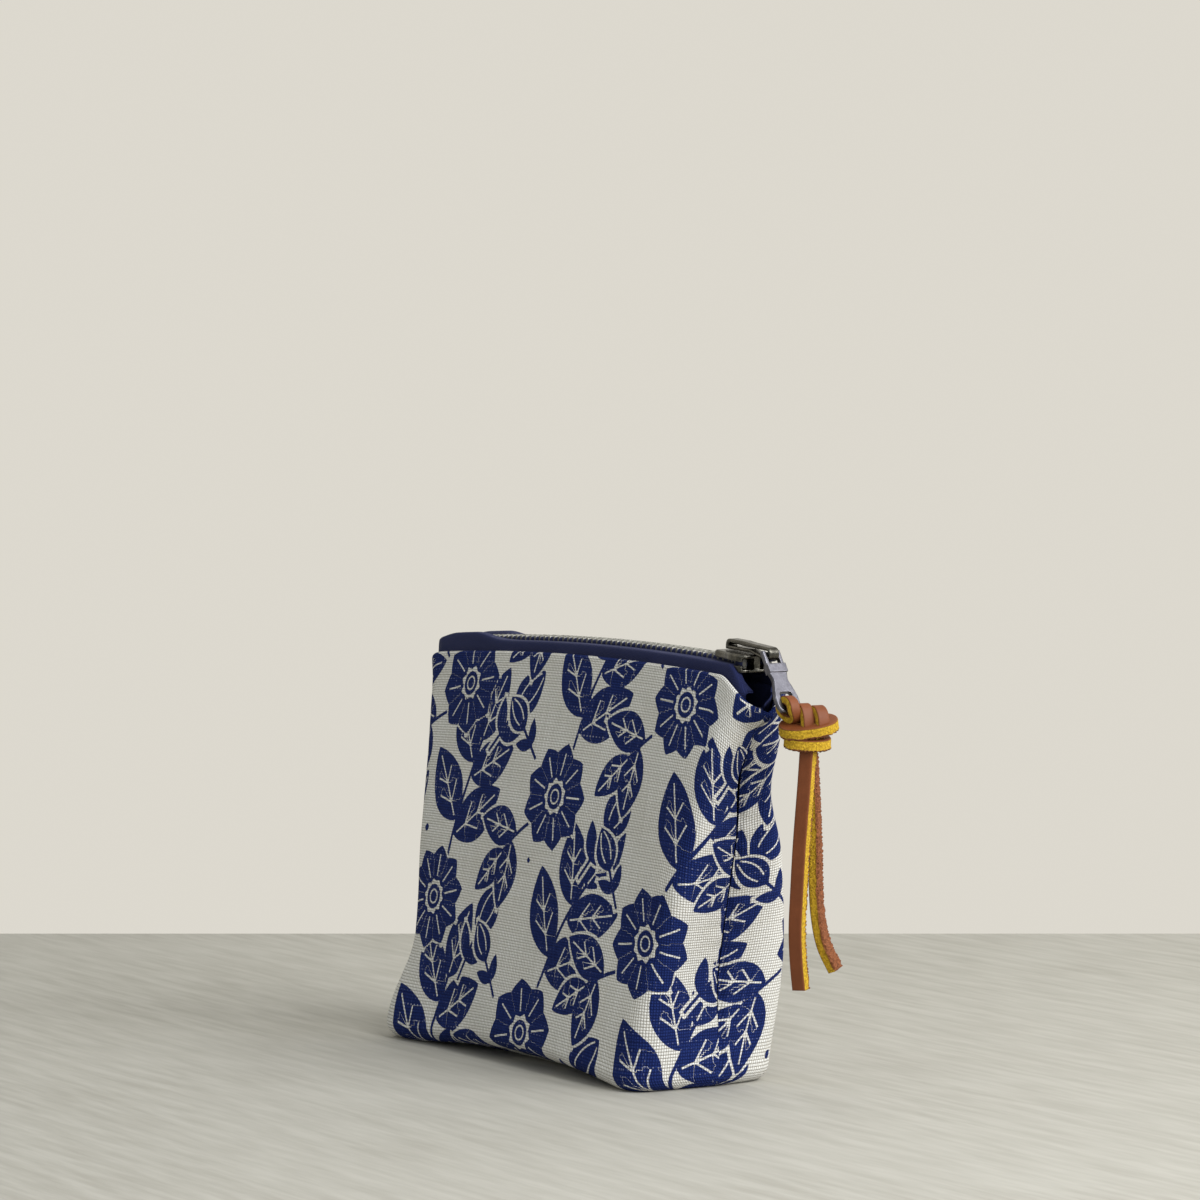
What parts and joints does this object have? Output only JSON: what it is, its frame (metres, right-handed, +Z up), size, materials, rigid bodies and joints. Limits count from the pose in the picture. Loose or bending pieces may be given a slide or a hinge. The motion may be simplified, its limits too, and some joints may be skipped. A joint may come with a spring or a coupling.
{
  "type": "zippered box-bottom pouch",
  "caption": "Small zippered pouch of printed linen with a boxed base, a metal zip along its top edge and a knotted leather lace pull on the slider.",
  "frame": {"origin": "centre of the base's underside, on the table", "axes": "+X along the zip towards the end where the slider rests closed, +Y towards the back panel, +Z up"},
  "size_m": [0.1762, 0.0463, 0.118],
  "materials": {
    "linen_print": "natural linen with a navy botanical screen print",
    "lining": "plain woven cotton",
    "zip_tape": "navy woven zip tape",
    "teeth_metal": "dull silver teeth and stops",
    "slider_metal": "dark antique metal, worn bright on its edges",
    "pull_metal": "satin nickel",
    "leather": "brown grain face, yellow cut sides and a fuzzy brown flesh side"
  },
  "bodies": {
    "pouch": {"outer_front_panel": "linen_print", "outer_back_panel": "linen_print", "lining_front_panel": "lining", "lining_back_panel": "lining", "zip_tape_front": "zip_tape", "zip_tape_back": "zip_tape", "zip_teeth_front": "teeth_metal", "zip_teeth_back": "teeth_metal", "zip_bottom_stop": "teeth_metal", "zip_top_stop_front": "teeth_metal", "zip_top_stop_back": "teeth_metal"},
    "slider": {"slider_body": "slider_metal", "slider_cap": "slider_metal"},
    "pull": {"pull_tab": "pull_metal"},
    "lace": {"thong_knot": "leather", "thong_strand_front": "leather", "thong_strand_back": "leather"}
  },
  "joints": [
    {"name": "slider_run", "type": "hinge", "parent": "pouch", "child": "slider", "pos_m": [0.018, 0.0035, -0.9864], "axis": [0, 1, 0], "range_deg": [-6.7, 0], "deforming": ["outer_front_panel", "outer_back_panel", "lining_front_panel", "lining_back_panel", "zip_tape_front", "zip_tape_back", "zip_teeth_front", "zip_teeth_back"]},
    {"name": "pull_swing", "type": "hinge", "parent": "slider", "child": "pull", "pos_m": [0.08263, 0.0035, 0.11478], "axis": [0, -1, 0], "range_deg": [0, 170]},
    {"name": "lace_swing", "type": "hinge", "parent": "pull", "child": "lace", "pos_m": [0.09116, 0.0035, 0.10112], "axis": [0, -1, 0], "range_deg": [-5, 60]}
  ]
}
